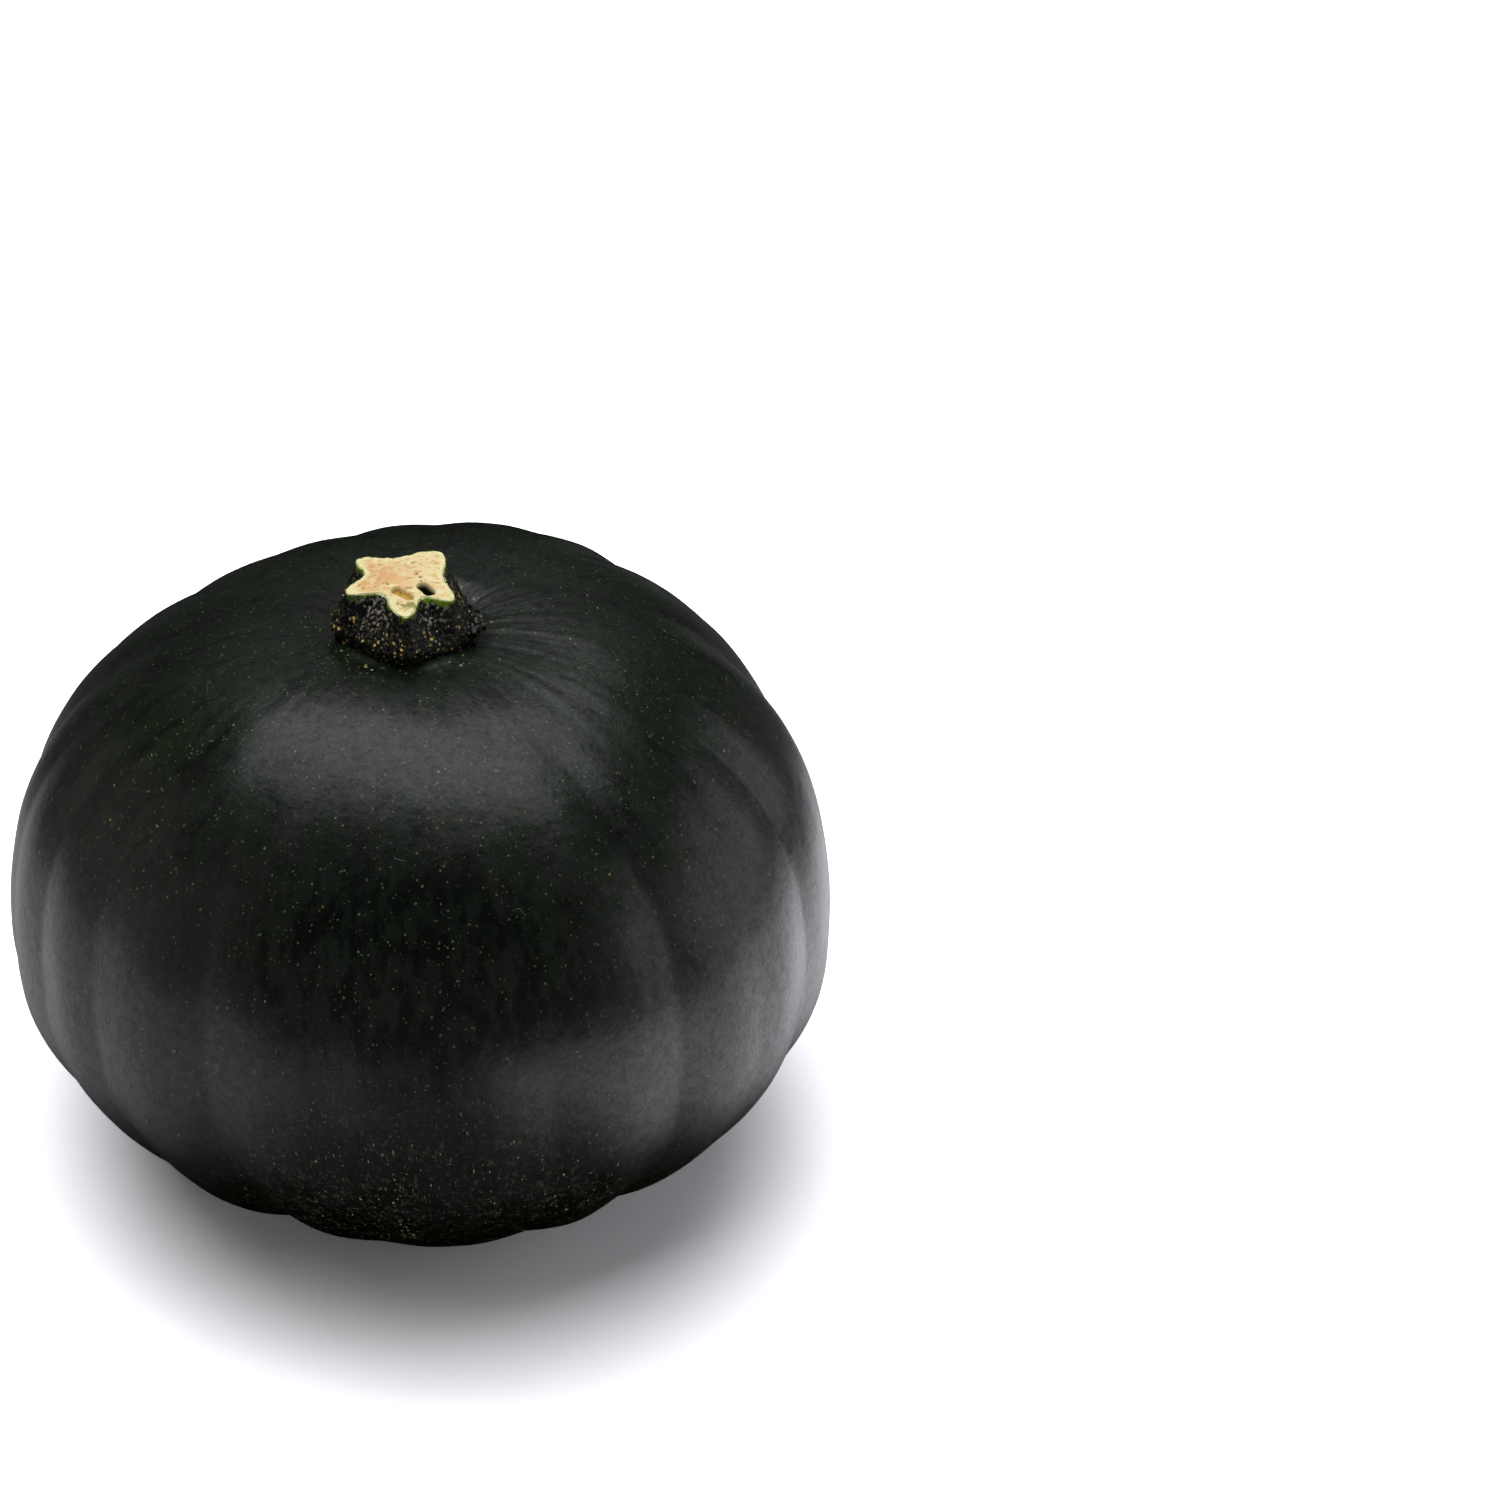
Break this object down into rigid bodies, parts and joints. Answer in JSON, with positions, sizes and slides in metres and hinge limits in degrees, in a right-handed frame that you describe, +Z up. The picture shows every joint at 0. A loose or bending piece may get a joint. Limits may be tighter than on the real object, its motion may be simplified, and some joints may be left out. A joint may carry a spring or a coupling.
{
  "type": "pumpkin",
  "caption": "Whole dark green pumpkin as picked: a squat, shallow-ribbed fruit that stands on its blossom end, with a stub of star-shaped cut stalk on top.",
  "frame": {"origin": "on the surface that the fruit stands on, under the middle of its outline", "axes": "+Z up, from the blossom end to the stalk; -Y is the front, the side that faces the viewer, and +X is its right"},
  "size_m": [0.1734, 0.1738, 0.1379],
  "materials": {
    "rind": "satin waxy skin, near-black green with fine pale flecks",
    "stalk": "rough corky bark, dark green to black, with a pale cream fibrous cut"
  },
  "bodies": {
    "root": {"fruit": "rind", "stalk": "stalk"}
  },
  "joints": []
}
